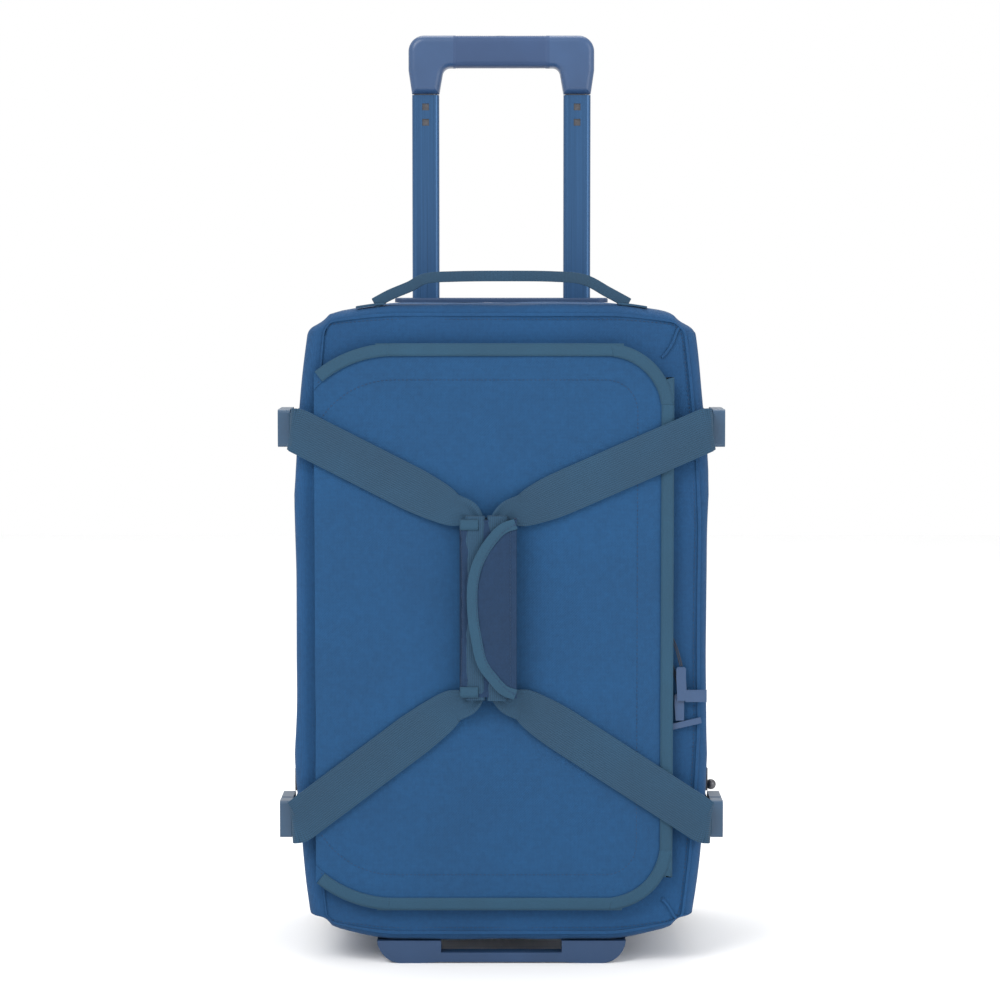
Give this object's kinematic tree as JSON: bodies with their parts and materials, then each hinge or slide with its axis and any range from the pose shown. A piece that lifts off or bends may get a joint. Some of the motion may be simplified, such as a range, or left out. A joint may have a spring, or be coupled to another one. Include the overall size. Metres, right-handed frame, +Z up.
{
  "type": "softside wheeled duffel case",
  "caption": "Upright soft-sided travel case with a strapped side-hinged lid, telescopic trolley handle, rear wheels and a front stand.",
  "frame": {"origin": "on the floor, under the middle of the whole case's box", "axes": "+Z up, -Y towards the strapped lid, +Y towards the trolley and wheels, +X to the right seen from the lid's side"},
  "size_m": [0.37, 0.2658, 0.785],
  "materials": {
    "fabric_blue": "woven polyester, matt",
    "webbing_blue": "ribbed webbing",
    "binding_blue": "grosgrain binding",
    "lining_dark": "plain lining",
    "zip_dark": "woven zip tape with moulded teeth",
    "board_grey": "extruded sheet",
    "moulded_black": "fine texture",
    "moulded_blue": "satin",
    "tube_blue": "blue anodised",
    "tube_grey": "mill finish",
    "steel": "plated",
    "zip_metal": "dark plated",
    "buckle": "satin",
    "tyre": "matt",
    "cord": "braided"
  },
  "bodies": {
    "case": {"front_panel": "fabric_blue", "left_side_panel": "fabric_blue", "right_side_panel": "fabric_blue", "top_panel": "fabric_blue", "bottom_panel": "fabric_blue", "back_panel": "fabric_blue", "piping": "binding_blue", "frame_zip_tape": "zip_dark", "base_board": "board_grey", "trolley_cover": "board_grey", "trolley_foot": "moulded_black", "trolley_bezel": "moulded_blue", "outer_tubes": "tube_grey", "left_wheel_housing": "moulded_black", "right_wheel_housing": "moulded_black", "wheel_axles": "steel", "front_stand": "moulded_blue", "screws": "steel", "left_buckle_sockets": "buckle", "right_buckle_sockets": "buckle", "left_side_straps": "webbing_blue", "right_side_straps": "webbing_blue", "left_buckle_clips": "buckle", "left_strap_turns": "webbing_blue", "left_pocket_zip": "zip_dark", "right_pocket_zip": "zip_dark"},
    "middle_stage": {"middle_tubes": "tube_blue", "middle_bushings": "moulded_black"},
    "grip_stage": {"inner_tubes": "tube_grey", "grip_core": "moulded_blue", "grip_cover": "moulded_blue"},
    "release": {"release_button": "moulded_blue", "push_rods": "steel"},
    "lid": {"lid_panel": "fabric_blue", "lid_binding": "binding_blue", "lid_lining": "lining_dark", "lid_zip_tape": "zip_dark", "left_straps": "webbing_blue", "right_straps": "webbing_blue", "right_buckle_clips": "buckle", "left_strap_inner": "webbing_blue", "right_strap_inner": "webbing_blue"},
    "haul_handle": {"haul_sleeve": "fabric_blue", "haul_grips": "webbing_blue"},
    "haul_wrap": {"wrap_tab": "fabric_blue"},
    "left_wheel": {"left_tyre": "tyre", "left_wheel_hub": "moulded_black"},
    "right_wheel": {"right_tyre": "tyre", "right_wheel_hub": "moulded_black"},
    "carry_handle": {"carry_handle": "webbing_blue"},
    "upper_slider": {"upper_slider": "zip_metal"},
    "lower_slider": {"lower_slider": "zip_metal"},
    "upper_pull": {"upper_pull": "moulded_blue", "upper_pull_cord": "cord"},
    "lower_pull": {"lower_pull": "moulded_blue", "lower_pull_cord": "cord"},
    "left_pocket_slider": {"left_pocket_slider": "zip_metal"},
    "right_pocket_slider": {"right_pocket_slider": "zip_metal"},
    "left_pocket_pull": {"left_pocket_pull": "zip_metal"},
    "right_pocket_pull": {"right_pocket_pull": "zip_metal"}
  },
  "joints": [
    {"name": "trolley_lower_slide", "type": "slide", "parent": "case", "child": "middle_stage", "axis": [0, 0, 1], "range_m": [-0.177, 0]},
    {"name": "trolley_upper_slide", "type": "slide", "parent": "middle_stage", "child": "grip_stage", "axis": [0, 0, 1], "range_m": [0, 0.205]},
    {"name": "release_button_press", "type": "slide", "parent": "grip_stage", "child": "release", "axis": [0, 0, -1], "range_m": [0, 0.004], "stiffness_N_per_m": 800, "springref_m": -0.003},
    {"name": "left_wheel_spin", "type": "hinge", "parent": "case", "child": "left_wheel", "pos_m": [-0.13, 0.09895, 0.034], "axis": [1, 0, 0], "continuous": true},
    {"name": "right_wheel_spin", "type": "hinge", "parent": "case", "child": "right_wheel", "pos_m": [0.13, 0.09895, 0.034], "axis": [1, 0, 0], "continuous": true},
    {"name": "lid_open", "type": "hinge", "parent": "case", "child": "lid", "pos_m": [-0.156, -0.11355, 0.283], "axis": [0, 0, -1], "range_deg": [0, 150], "deforming": ["left_strap_turns"]},
    {"name": "haul_handle_lift", "type": "slide", "parent": "lid", "child": "haul_handle", "axis": [0, -1, 0], "range_m": [0, 0.035], "deforming": ["left_strap_inner", "right_strap_inner"]},
    {"name": "wrap_tab_open", "type": "hinge", "parent": "haul_handle", "child": "haul_wrap", "pos_m": [0.0125, -0.12975, 0.3015], "axis": [0, 0, 1], "range_deg": [0, 150]},
    {"name": "carry_handle_tilt", "type": "hinge", "parent": "case", "child": "carry_handle", "pos_m": [0, -0.08805, 0.558], "axis": [1, 0, 0], "range_deg": [-30, 30], "stiffness_Nm_per_rad": 0.4},
    {"name": "upper_slider_run", "type": "slide", "parent": "case", "child": "upper_slider", "axis": [0, 0, 1], "range_m": [0, 0.165]},
    {"name": "lower_slider_run", "type": "slide", "parent": "case", "child": "lower_slider", "axis": [0, 0, -1], "range_m": [0, 0.158]},
    {"name": "upper_pull_swing", "type": "hinge", "parent": "upper_slider", "child": "upper_pull", "pos_m": [0.1353, -0.10735, 0.28625], "axis": [0, -1, 0], "range_deg": [0, 90]},
    {"name": "lower_pull_swing", "type": "hinge", "parent": "lower_slider", "child": "lower_pull", "pos_m": [0.1353, -0.10735, 0.26525], "axis": [0, -1, 0], "range_deg": [0, 90]},
    {"name": "left_pocket_slider_run", "type": "slide", "parent": "case", "child": "left_pocket_slider", "axis": [0, 0, 1], "range_m": [0, 0.25]},
    {"name": "right_pocket_slider_run", "type": "slide", "parent": "case", "child": "right_pocket_slider", "axis": [0, 0, 1], "range_m": [0, 0.25]},
    {"name": "left_pocket_pull_swing", "type": "hinge", "parent": "left_pocket_slider", "child": "left_pocket_pull", "pos_m": [-0.177, -0.01205, 0.15], "axis": [0, 1, 0], "range_deg": [0, 110]},
    {"name": "right_pocket_pull_swing", "type": "hinge", "parent": "right_pocket_slider", "child": "right_pocket_pull", "pos_m": [0.177, -0.01205, 0.15], "axis": [0, -1, 0], "range_deg": [0, 110]}
  ]
}
